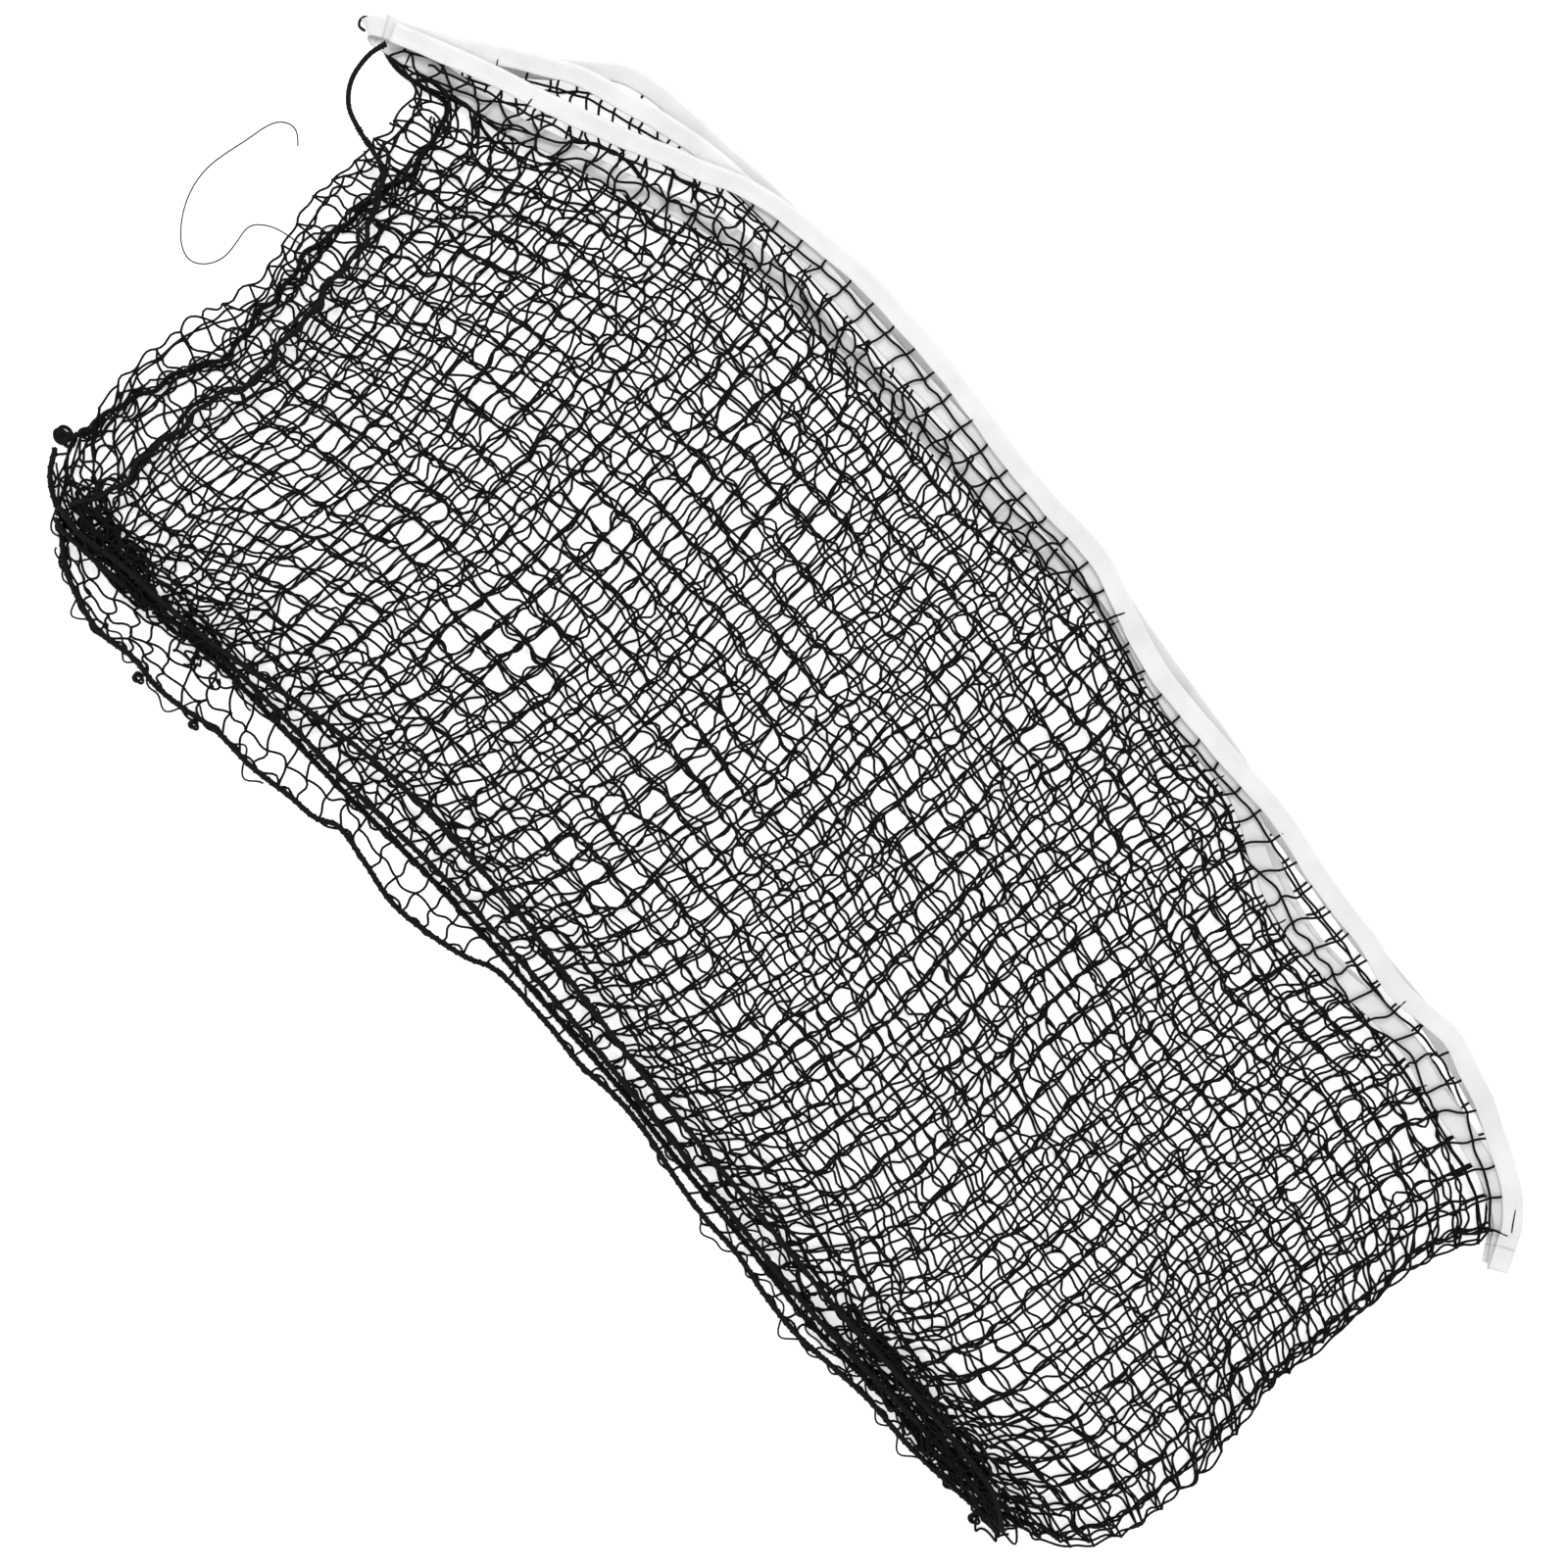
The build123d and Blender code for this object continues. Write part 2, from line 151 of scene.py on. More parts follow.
NET_LEFT = {
    1: [
        (-1.08129, 0.3078), (-1.03804, 0.25898), (-1.02967, 0.21713), (-1.02269, 0.17528), (-1.02409, 0.12645),
        (-1.03246, 0.07762), (-1.03246, 0.0288), (-1.02828, -0.027), (-1.01711, -0.08978), (-1.00735, -0.14557),
        (-1.01014, -0.20137), (-1.02828, -0.2502), (-1.04502, -0.306), (-1.05059, -0.3618), (-1.06036, -0.40644),
    ],
    2: [
        (-1.12174, 0.27572), (-1.09105, 0.25618), (-1.08686, 0.18225), (-1.08686, 0.09855), (-1.0757, 0.0288),
        (-1.06176, -0.027), (-1.05339, -0.0828), (-1.06036, -0.1386), (-1.07152, -0.2223), (-1.0771, -0.29205),
        (-1.06873, -0.34785), (-1.05617, -0.41063), (-1.03525, -0.46224), (-1.00456, -0.49851),
    ],
    3: [
        (-1.12174, 0.27572), (-1.09105, 0.25618), (-1.08686, 0.18225), (-1.08686, 0.09855), (-1.0757, 0.0288),
        (-1.06176, -0.027), (-1.05339, -0.0828), (-1.06036, -0.1386), (-1.07152, -0.2223), (-1.0771, -0.29205),
        (-1.06873, -0.34785), (-1.05617, -0.41063), (-1.03525, -0.46224), (-1.00456, -0.49851),
    ],
    4: [
        (-1.12174, 0.27572), (-1.09105, 0.25618), (-1.08686, 0.18225), (-1.07012, 0.1669), (-1.03525, 0.15156),
        (-1.01154, 0.12366), (-0.99619, 0.0846), (-0.97945, 0.04275), (-0.97108, -0.01305), (-0.96271, -0.06885),
        (-0.95155, -0.12465), (-0.95015, -0.17347), (-0.96132, -0.22928), (-0.96829, -0.29205), (-0.9655, -0.35483),
        (-0.9655, -0.41063), (-0.97526, -0.45945),
    ],
}
NET_FROM = {1: -1.1064, 2: -1.17614, 3: -1.18731, 4: -1.16359}
THREAD = [
    (-1.0492, 0.00369, 0.006), (-1.0785, -0.00189, 0.0045), (-1.1036, -0.01305, 0.0022), (-1.12174, -0.03258, 0.0011),
    (-1.11477, -0.06048, 0.0011), (-1.10918, -0.08838, 0.0011), (-1.11756, -0.11349, 0.0011), (-1.13709, -0.13023, 0.0011),
    (-1.1608, -0.12604, 0.0011), (-1.18312, -0.10791, 0.0011), (-1.20265, -0.0828, 0.0011), (-1.2166, -0.05211, 0.0011),
    (-1.22218, -0.01863, 0.0011), (-1.218, 0.01764, 0.0011), (-1.21242, 0.04972, 0.0011), (-1.20962, 0.07902, 0.0011),
    (-1.20126, 0.09995, 0.0011), (-1.18312, 0.10971, 0.0011), (-1.16778, 0.10413, 0.0011), (-1.15801, 0.09436, 0.0011),
]
TIP = {1: 0.030, 2: 0.022, 3: 0.034}      # how far each headband fold reaches past its panels
LUMPS = {
    2: [(-0.74509, -0.57942, 0.022), (-0.64326, -0.56547, 0.02)],
    1: [(0.8759, -0.49153, 0.02), (0.93728, -0.49712, 0.022)],
    3: [(-0.64465, -0.47898, 0.018), (-0.57211, -0.47201, 0.016)],
}
HOOK = [
    (-1.21102, 0.29943, 0.004), (-1.2166, 0.29524, 0.0042), (-1.2166, 0.28687, 0.0042), (-1.21102, 0.2813, 0.004), (-1.20126, 0.28269, 0.0036),
]
SHIFT = (0.011, -0.027)
CENTRE = (-0.02011, 0.001)
FRAME_WIDTH = 2.232


def base(k):
    return PITCH * (k - 1)


def arr(p):
    return np.array(p, float)


def smooth(line, step):
    """Catmull-Rom through the points, then evenly spaced."""
    p = arr(line)
    q = np.vstack([2 * p[0] - p[1], p, 2 * p[-1] - p[-2]])
    out = []
    for i in range(1, len(q) - 2):
        a, b, c, d = q[i - 1], q[i], q[i + 1], q[i + 2]
        ta = np.linalg.norm(b - a) ** .5
        tb = ta + np.linalg.norm(c - b) ** .5
        tc = tb + np.linalg.norm(d - c) ** .5
        t = np.linspace(ta, tb, 13)[:-1, None]
        A1 = (ta - t) / ta * a + t / ta * b
        A2 = (tb - t) / (tb - ta) * b + (t - ta) / (tb - ta) * c
        A3 = (tc - t) / (tc - tb) * c + (t - tb) / (tc - tb) * d
        B1 = (tb - t) / tb * A1 + t / tb * A2
        B2 = (tc - t) / (tc - ta) * A2 + (t - ta) / (tc - ta) * A3
        out.append((tb - t) / (tb - ta) * B1 + (t - ta) / (tb - ta) * B2)
    out = np.vstack(out + [p[-1:]])
    return even(out, step)


def even(p, step=None, n=None):
    s = np.concatenate([[0], np.cumsum(np.linalg.norm(np.diff(p, axis=0), axis=1))])
    n = n or max(3, int(round(s[-1] / step)) + 1)
    t = np.linspace(0, s[-1], n)
    return np.stack([np.interp(t, s, p[:, i]) for i in range(p.shape[1])], axis=1)


def at(p, u):
    """Points at length fractions u."""
    s = np.concatenate([[0], np.cumsum(np.linalg.norm(np.diff(p, axis=0), axis=1))])
    t = np.asarray(u) * s[-1]
    return np.stack([np.interp(t, s, p[:, i]) for i in range(p.shape[1])], axis=-1)


class Bag:
    """Collects vertices and faces of one piece."""

    def __init__(self):
        self.v, self.f, self.n = [], [], 0

    def add(self, v, f):
        self.v.append(np.asarray(v, float).reshape(-1, 3))
        self.f.append(np.asarray(f, np.int64) + self.n)
        self.n += len(self.v[-1])

    def make(self, name, mat):
        v = np.vstack(self.v)
        quads = [f for f in self.f if f.shape[1] == 4]
        tris = [f for f in self.f if f.shape[1] == 3]
        me = bpy.data.meshes.new(name)
        loops, starts, totals = [], [], []
        at_ = 0
        for group, m in ((quads, 4), (tris, 3)):
            if group:
                g = np.vstack(group)
                loops.append(g.ravel())
                starts.append(at_ + np.arange(len(g)) * m)
                totals.append(np.full(len(g), m))
                at_ += g.size
        loops, starts, totals = map(np.concatenate, (loops, starts, totals))
        me.vertices.add(len(v))
        me.vertices.foreach_set("co", v.astype(np.float32).ravel())
        me.loops.add(len(loops))
        me.loops.foreach_set("vertex_index", loops.astype(np.int32))
        me.polygons.add(len(starts))
        me.polygons.foreach_set("loop_start", starts.astype(np.int32))
        me.polygons.foreach_set("loop_total", totals.astype(np.int32))
        me.polygons.foreach_set("use_smooth", np.ones(len(starts), bool))
        me.update(calc_edges=True)
        me.validate()
        me.materials.append(mat)
        ob = bpy.data.objects.new(name, me)
        bpy.context.scene.collection.objects.link(ob)
        return ob


def frames(p, ref=None):
    """Tangent, side and up along polylines p of shape (E, N, 3)."""
    t = np.gradient(p, axis=1)
    t /= np.linalg.norm(t, axis=2, keepdims=True) + 1e-12
    r = np.array([0, 0, 1.0]) if ref is None else np.asarray(ref, float)
    a = np.cross(t, r)
    a /= np.linalg.norm(a, axis=2, keepdims=True) + 1e-12
    return t, a, np.cross(a, t)


def tubes(bag, p, r, sides=6, ref=None, cap=False):
    """Round tubes along p (E, N, 3); r is a number or (E, N)."""
    p = np.asarray(p, float)
    E, N = p.shape[:2]
    t, a, b = frames(p, ref)
    th = np.arange(sides) * 2 * math.pi / sides
    r = np.broadcast_to(np.asarray(r, float), (E, N))
    ring = (a[:, :, None, :] * np.cos(th)[None, None, :, None] + b[:, :, None, :] * np.sin(th)[None, None, :, None])
    v = p[:, :, None, :] + ring * r[:, :, None, None]
    e = np.arange(E)[:, None, None] * N * sides
    i = np.arange(N - 1)[None, :, None] * sides
    j = np.arange(sides)[None, None, :]
    k = (j + 1) % sides
    f = np.stack([e + i + j, e + i + k, e + i + sides + k, e + i + sides + j], axis=-1).reshape(-1, 4)
    bag.add(v, f)
    if cap:
        # rounded ends: one point each
        c = np.concatenate([p[:, 0] - t[:, 0] * r[:, 0, None] * .6, p[:, -1] + t[:, -1] * r[:, -1, None] * .6])
        first = bag.n - E * N * sides
        bag.add(c, np.zeros((0, 3), int))
        base_c = bag.n - 2 * E
        tri = []
        for q in range(E):
            for s in range(sides):
                s2 = (s + 1) % sides
                tri.append((first + q * N * sides + s2, first + q * N * sides + s, base_c + q))
                o = first + q * N * sides + (N - 1) * sides
                tri.append((o + s, o + s2, base_c + E + q))
        bag.f.append(np.array(tri, np.int64))


PHI = (1 + 5 ** .5) / 2
ICO_V = arr([(-1, PHI, 0), (1, PHI, 0), (-1, -PHI, 0), (1, -PHI, 0), (0, -1, PHI), (0, 1, PHI), (0, -1, -PHI),
             (0, 1, -PHI), (PHI, 0, -1), (PHI, 0, 1), (-PHI, 0, -1), (-PHI, 0, 1)]) / math.sqrt(1 + PHI * PHI)
ICO_F = np.array([(0, 11, 5), (0, 5, 1), (0, 1, 7), (0, 7, 10), (0, 10, 11), (1, 5, 9), (5, 11, 4), (11, 10, 2),
                  (10, 7, 6), (7, 1, 8), (3, 9, 4), (3, 4, 2), (3, 2, 6), (3, 6, 8), (3, 8, 9), (4, 9, 5), (2, 4, 11),
                  (6, 2, 10), (8, 6, 7), (9, 8, 1)])


def knots(bag, p, r):
    n = len(p)
    ang = rng.uniform(0, math.pi, n)
    sc = np.stack([rng.uniform(1.05, 1.45, n), rng.uniform(.8, 1.0, n), rng.uniform(.8, .95, n)], axis=1) * r
    v = ICO_V[None] * sc[:, None, :]
    c, s = np.cos(ang)[:, None], np.sin(ang)[:, None]
    v = np.stack([v[..., 0] * c - v[..., 1] * s, v[..., 0] * s + v[..., 1] * c, v[..., 2]], axis=-1) + p[:, None, :]
    f = (ICO_F[None] + (np.arange(n) * 12)[:, None, None]).reshape(-1, 3)
    bag.add(v, f)


# ---- materials --------------------------------------------------------------
def material(name, colour, rough, bump=None, sheen=0.0, alpha=1.0, spec=0.5, vary=None, coat=0.0):
    m = bpy.data.materials.new(name)
    m.use_nodes = True
    nt = m.node_tree
    b = nt.nodes["Principled BSDF"]
    b.inputs["Base Color"].default_value = (*colour, 1)
    b.inputs["Roughness"].default_value = rough
    b.inputs["Specular IOR Level"].default_value = spec
    b.inputs["Sheen Weight"].default_value = sheen
    b.inputs["Sheen Roughness"].default_value = 0.5
    b.inputs["Coat Weight"].default_value = coat
    b.inputs["Alpha"].default_value = alpha
    tc = nt.nodes.new("ShaderNodeTexCoord")
    if vary:
        n = nt.nodes.new("ShaderNodeTexNoise")
        n.inputs["Scale"].default_value = vary[0]
        n.inputs["Detail"].default_value = 5
        r = nt.nodes.new("ShaderNodeValToRGB")
        r.color_ramp.elements[0].color = (*vary[1], 1)
        r.color_ramp.elements[1].color = (*colour, 1)
        r.color_ramp.elements[0].position = .3
        r.color_ramp.elements[1].position = .62
        nt.links.new(tc.outputs["Object"], n.inputs["Vector"])
        nt.links.new(n.outputs["Fac"], r.inputs["Fac"])
        nt.links.new(r.outputs["Color"], b.inputs["Base Color"])
    if bump:
        prev = None
        for scale, dist, strength, kind in bump:
            n = nt.nodes.new("ShaderNodeTexNoise" if kind == "noise" else "ShaderNodeTexWave")
            n.inputs["Scale"].default_value = scale
            if kind == "wave":
                n.bands_direction = "DIAGONAL"
                n.inputs["Distortion"].default_value = 2.0
                n.inputs["Detail"].default_value = 2
            else:
                n.inputs["Detail"].default_value = 6
            bp = nt.nodes.new("ShaderNodeBump")
            bp.inputs["Distance"].default_value = dist
            bp.inputs["Strength"].default_value = strength
            nt.links.new(tc.outputs["Object"], n.inputs["Vector"])
            nt.links.new(n.outputs["Fac"], bp.inputs["Height"])
            if prev:
                nt.links.new(prev.outputs["Normal"], bp.inputs["Normal"])
            prev = bp
        nt.links.new(prev.outputs["Normal"], b.inputs["Normal"])
    return m


TWINE = material("twine_black", (0.0035, 0.0035, 0.004), 0.80, [(900, .0004, .5, "wave"), (2600, .0002, .4, "noise")], spec=.12)
CORD = material("cord_black", (0.004, 0.004, 0.0045), 0.78, [(420, .0008, .6, "wave"), (1900, .0003, .5, "noise")], spec=.14,
                vary=(240, (0.009, 0.009, 0.010)))
VINYL = material("vinyl_white", (0.815, 0.817, 0.822), 0.40, [(38, .0016, .55, "noise"), (420, .0002, .35, "noise")], alpha=.80, spec=.5,
                 vary=(16, (0.725, 0.73, 0.737)), coat=.15)
STITCH = material("stitch_white", (0.78, 0.78, 0.785), 0.7, [(1500, .0002, .5, "wave")], spec=.3, vary=(300, (0.60, 0.61, 0.63)))
CORE = material("head_cord_pale", (0.80, 0.80, 0.80), 0.6, [(500, .0006, .6, "wave")], spec=.3, vary=(200, (0.70, 0.70, 0.71)))

# ---- netting ----------------------------------------------------------------
def patch(k):
    top = smooth([p for p in HEM[k] if p[0] >= NET_FROM[k]], .01)
    low = smooth(FOOT[k], .01)
    L = smooth([tuple(top[0])] + NET_LEFT[k] + [tuple(low[0])], .01)
    R = smooth([tuple(top[-1])] + [p for p in RIGHT if low[-1][1] + .008 < p[1] < top[-1][1] - .008] + [tuple(low[-1])], .01)
    return top, low, L, R


def coons(pt, u, v):
    top, low, L, R = pt
    u, v = np.asarray(u, float), np.asarray(v, float)
    T, B, l, r = at(top, u), at(low, u), at(L, v), at(R, v)
    U, V = u[..., None], v[..., None]
    return ((1 - V) * T + V * B + (1 - U) * l + U * r
            - ((1 - U) * (1 - V) * top[0] + U * (1 - V) * top[-1] + (1 - U) * V * low[0] + U * V * low[-1]))


def field(seed, scale):
    g = np.random.default_rng(seed)
    w = [(g.uniform(.5, 1.6) / scale * np.array([math.cos(a), math.sin(a)]), g.uniform(0, 6.28), g.uniform(.5, 1))
         for a in g.uniform(0, 6.28, 9)]
    tot = sum(q[2] for q in w)

    def f(xy):
        return sum(a * np.sin(xy @ k * 6.283 + ph) for k, ph, a in w) / tot * 1.9
    return f


WX, WY = field(1, .55), field(2, .55)          # shared waviness of all layers
PULLX, PULLY = field(3, .33), field(4, .33)    # where strands gather into bundles
BOWX, BOWY = field(5, .30), field(6, .26)      # neighbouring strands bow the same way
rows_v = np.linspace(0, 1, ROWS)
rows_v = .018 + .982 * rows_v
nodes, nodes_z, edge_u0, edge_u1, PATCH = {}, {}, {}, {}, {}
for k in range(1, 5):
    pt = PATCH[k] = patch(k)
    u = (np.arange(COLS) + .5) / COLS
    U, V = np.meshgrid(u, rows_v)
    xc = coons(pt, U, V)[..., 0] / PX
    g_ = np.exp(-((xc + 640) / 120) ** 2) + .75 * np.exp(-((xc - 560) / 130) ** 2)
    e_ = np.clip((V - .62) / .25, 0, 1)
    V = V + .52 * g_ * (1 - V) * e_ * e_ * (3 - 2 * e_)
    P = coons(pt, U, V)
    inner = (np.clip(V / .06, 0, 1) * np.clip((1 - V) / .05, 0, 1))[..., None]
    own = field(10 + k, .22), field(20 + k, .22)
    d = np.stack([own[0](P), own[1](P)], axis=-1) * PX * 4.2
    P1 = P + d * inner
    # gather towards shared lines, more in some places than others
    gx, gy = 33.4 * PX, 30.6 * PX
    w = np.stack([WX(P1) * 14 * PX, WY(P1) * 14 * PX], axis=-1)
    q = P1 + w
    pull = np.stack([np.clip(.45 + .6 * PULLX(P1), 0, .95), np.clip(.40 + .6 * PULLY(P1), 0, .92)], axis=-1)
    swing = np.stack([np.sin(q[..., 0] / gx * 2 * math.pi) * gx, np.sin(q[..., 1] / gy * 2 * math.pi) * gy], axis=-1)
    P2 = P1 - swing / (2 * math.pi) * pull * inner
    P2 += rng.normal(0, 1.7 * PX, P2.shape) * inner
    nodes[k] = P2
    z = base(k) + .004 + .0011 * field(30 + k, .15)(P2) + rng.normal(0, .0004, P2.shape[:2])
    nodes_z[k] = np.clip(z, base(k) + .0027, base(k) + .0053)
    edge_u0[k] = coons(pt, np.zeros(ROWS), rows_v)
    edge_u1[k] = coons(pt, np.ones(ROWS), rows_v)

T6 = np.linspace(0, 1, 7)


def slack(a, b, k, amp=4.3, s_amp=1.5):
    """Strands from a to b (E, 3), each with its own slack."""
    n = len(a)
    d = b - a
    L = np.linalg.norm(d[:, :2], axis=1, keepdims=True) + 1e-9
    nrm = np.stack([-d[:, 1], d[:, 0]], axis=1) / L
    need = np.clip(1.55 - L[:, 0] / MESH, .30, 1.5)       # a shorter gap leaves more slack
    mid = (a[:, :2] + b[:, :2]) / 2
    lean = BOWX(mid) * (np.abs(d[:, 0]) > np.abs(d[:, 1])) + BOWY(mid) * (np.abs(d[:, 0]) <= np.abs(d[:, 1]))
    bow = (rng.normal(0, amp * .78, n) + lean * amp * 1.0) * PX * need
    ess = rng.normal(0, s_amp, n) * PX
    off = bow[:, None] * np.sin(math.pi * T6)[None] ** .9 + ess[:, None] * np.sin(2 * math.pi * T6)[None]
    p = a[:, None] + d[:, None] * T6[None, :, None]
    p[..., :2] += off[..., None] * nrm[:, None, :]
    if k is not None:
        p[..., 2] += rng.normal(0, .0006, n)[:, None] * np.sin(math.pi * T6)[None]
        p[..., 2] = np.clip(p[..., 2], base(k) + .0026, base(k) + .0054)
    return p


def xyz(k, j=slice(None), i=slice(None)):
    return np.concatenate([nodes[k][j, i], nodes_z[k][j, i][..., None]], axis=-1)


for k in range(1, 5):
    bag = Bag()
    g = xyz(k)
    tubes(bag, slack(g[0, :-1], g[0, 1:], k, 1.2, .5), TWINE_R)          # sewn row, nearly taut
    tubes(bag, slack(g[1:, :-1].reshape(-1, 3), g[1:, 1:].reshape(-1, 3), k), TWINE_R)
    tubes(bag, slack(g[:-1].reshape(-1, 3), g[1:].reshape(-1, 3), k), TWINE_R)
    knots(bag, g[:-1].reshape(-1, 3), .0026)
    # strands running up into the headband, and the row that is sewn in
    hem = smooth(HEM[k], .004)
    tan = np.gradient(hem, axis=0)
    tan /= np.linalg.norm(tan, axis=1, keepdims=True)
    nor = np.stack([-tan[:, 1], tan[:, 0]], axis=1)
    tops = g[0]
    idx = np.array([np.argmin(((hem - t[:2]) ** 2).sum(1)) for t in tops])
    inside = np.concatenate([hem[idx] + nor[idx] * .0205 + rng.normal(0, 1.2 * PX, (COLS, 2)), np.full((COLS, 1), base(k) + .0042)], axis=1)
    tubes(bag, slack(tops, inside, k, 1.0, .6), TWINE_R)
    tubes(bag, slack(inside[:-1], inside[1:], k, .8, .5), TWINE_R * .9)
    # slack lacing and bunched twine at the two lower corners
    for x0, x1, y0, n in ((-715, -625, -322, 6), (-640, -500, -328, 5), (430, 560, -296, 4), (560, 690, -308, 6)):
        for q in range(n):
            cx_, cy_ = rng.uniform(x0, x1) * PX + SHIFT[0], (y0 + rng.normal(0, 8)) * PX + SHIFT[1]
            th = np.linspace(0, 2 * math.pi * rng.uniform(.8, 1.6), 48)
            A_, B_ = rng.uniform(10, 26) * PX, rng.uniform(5, 12) * PX
            f1, f2, f3, f4 = rng.uniform(0, 6.28, 4)
            pts = np.stack([cx_ + A_ * np.cos(th + f1) + .35 * A_ * np.cos(2.7 * th + f2),
                            cy_ + B_ * np.sin(th + f1) + .45 * B_ * np.sin(2.3 * th + f3),
                            base(k) + .0043 + .0010 * np.sin(3 * th + f4)], axis=1)
            tubes(bag, pts[None], TWINE_R)
    # free ends are laced to their side cords
    if k in (1, 4):
        e = np.concatenate([edge_u0[k], np.full((ROWS, 1), base(k) + .004)], axis=1)
        tubes(bag, slack(e, g[:, 0], k, 1.6), TWINE_R)
    ob = bag.make("net_panel_%d" % k, TWINE)
    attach(ob, "layer_%d" % k)
    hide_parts("netting_%d" % k)


def turn_loop(a, c, edge, k, r=.005, n=7):
    """Strand from a in layer k, round the fold at edge, to c in layer k + 1."""
    zk, zl = base(k) + .004, base(k + 1) + .004
    mid = (zk + zl) / 2
    out = []
    for A, C, E in zip(a, c, edge):
        da, dc = E - A[:2], E - C[:2]
        la, lc = np.linalg.norm(da) + 1e-9, np.linalg.norm(dc) + 1e-9
        ra, rc = da / la, dc / lc
        pts = [A]
        for t in (.3, .6):
            q = A[:2] + ra * max(la - r, .001) * t
            pts.append(np.array([*q, A[2] + (zk - A[2]) * t]))
        for ang in np.linspace(-math.pi / 2, math.pi / 2, n):
            dirn = ra * (1 - (ang + math.pi / 2) / math.pi) + rc * ((ang + math.pi / 2) / math.pi)
            q = E - dirn * (r - r * math.cos(ang))
            pts.append(np.array([*q, mid + r * math.sin(ang)]))
        for t in (.6, .3):
            q = C[:2] + rc * max(lc - r, .001) * t
            pts.append(np.array([*q, C[2] + (zl - C[2]) * t]))
        pts.append(C)
        out.append(pts)
    return np.array(out)


for k, side in ((1, 1), (2, 0), (3, 1)):
    i = -1 if side else 0
    a, c = xyz(k)[:, i], xyz(k + 1)[:, i]
    E = ((edge_u1[k] + edge_u1[k + 1]) if side else (edge_u0[k] + edge_u0[k + 1])) / 2
    E = E + rng.normal(0, 1.6 * PX, E.shape)
    bag = Bag()
    tubes(bag, turn_loop(a, c, E, k), TWINE_R, ref=(0.09 if side else -.14, 1, 0))
    # the strand that runs down the fold itself, bowed out between the knots
    zm = (base(k) + base(k + 1)) / 2 + .004
    e3 = np.concatenate([E, np.full((len(E), 1), zm)], axis=1)
    sg = slack(e3[:-1], e3[1:], None, 4.5, 1.6)
    rim = Bag()
    tubes(rim, sg, TWINE_R)
    knots(rim, e3, .0026)
    ob = bag.make("net_fold_%d" % k, TWINE)
    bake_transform(ob)
    # it keeps its thickness on the lower layer while the loops take up the opening
    ob = rim.make("net_rim_%d" % k, TWINE)
    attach(ob, "layer_%d" % k)

# ---- headband ---------------------------------------------------------------
def tape_profile(t_edge, t_cord, w=BAND_W, ply=.0008):
    """Closed outline of the folded tape: (across, height)."""
    ws = np.array([0, .002, .0045, .008, .012, .016, .020, .0235, .026])
    half = t_edge / 2 + (t_cord - t_edge) / 2 * np.clip((ws - .006) / .016, 0, 1) ** 1.4
    R = half[-1]
    arc = np.linspace(-90, 90, 9)[1:-1] * math.pi / 180
    ax = .026 + (w - .026) * np.cos(arc)
    az = R * np.sin(arc)
    outer = np.concatenate([np.stack([ws, -half], 1), np.stack([ax, az], 1), np.stack([ws[::-1], half[::-1]], 1)])
    hi = half - ply
    iax = .0255 + (w - .0255 - ply) * np.cos(arc)
    inner = np.concatenate([np.stack([ws, -hi], 1), np.stack([iax, (R - ply) * np.sin(arc)], 1), np.stack([ws[::-1], hi[::-1]], 1)])
    return outer, inner


def tape(bag, path, wdir, t_edge, t_cord, emboss=None, wob=None):
    """Folded tape swept along path (N, 3) with its width along wdir (N, 3)."""
    N = len(path)
    t = np.gradient(path, axis=0)
    t /= np.linalg.norm(t, axis=1, keepdims=True)
    w = wdir - (wdir * t).sum(1, keepdims=True) * t
    w /= np.linalg.norm(w, axis=1, keepdims=True)
    n = np.cross(t, w)
    rings = []
    for s in range(N):
        o, i = tape_profile(t_edge[s], t_cord[s])
        o, i = o.copy(), i.copy()
        if emboss is not None:
            k = len(o)
            top = o[:, 1] > t_edge[s] * .45
            o[top, 1] += emboss[s] * np.clip(1 - np.abs(o[top, 0] - .011) / .0115, 0, 1)
            bot = o[:, 1] < -t_edge[s] * .45
            o[bot, 1] -= emboss[s] * .6 * np.clip(1 - np.abs(o[bot, 0] - .011) / .0115, 0, 1)
        if wob is not None:
            o[:, 0] += wob[s] * (1 - o[:, 0] / BAND_W)
            i[:, 0] += wob[s] * (1 - i[:, 0] / BAND_W)
        ring = np.concatenate([o, i[::-1]])
        rings.append(path[s] + ring[:, :1] * w[s] + ring[:, 1:] * n[s])
    M = len(rings[0])
    v = np.array(rings)
    a = np.arange(N - 1)[:, None] * M
    j = np.arange(M)[None, :]
    j2 = (j + 1) % M
    bag.add(v, np.stack([a + j, a + M + j, a + M + j2, a + j2], -1).reshape(-1, 4))
    first = bag.n - N * M
    h = M // 2
    cap = []
    for q in range(h - 1):
        a0, a1, b1, b0 = q, q + 1, M - 2 - q, M - 1 - q
        cap.append((first + a0, first + a1, first + b1, first + b0))
        e = first + (N - 1) * M
        cap.append((e + a1, e + a0, e + b0, e + b1))
    bag.f.append(np.array(cap, np.int64))


def hem_path(k):
    line = smooth(HEM[k], .004)
    tan = np.gradient(line, axis=0)
    tan /= np.linalg.norm(tan, axis=1, keepdims=True)
    nor = np.stack([-tan[:, 1], tan[:, 0], np.zeros(len(line))], axis=1)
    z = np.full((len(line), 1), base(k) + .004)
    return np.concatenate([line, z], axis=1), nor


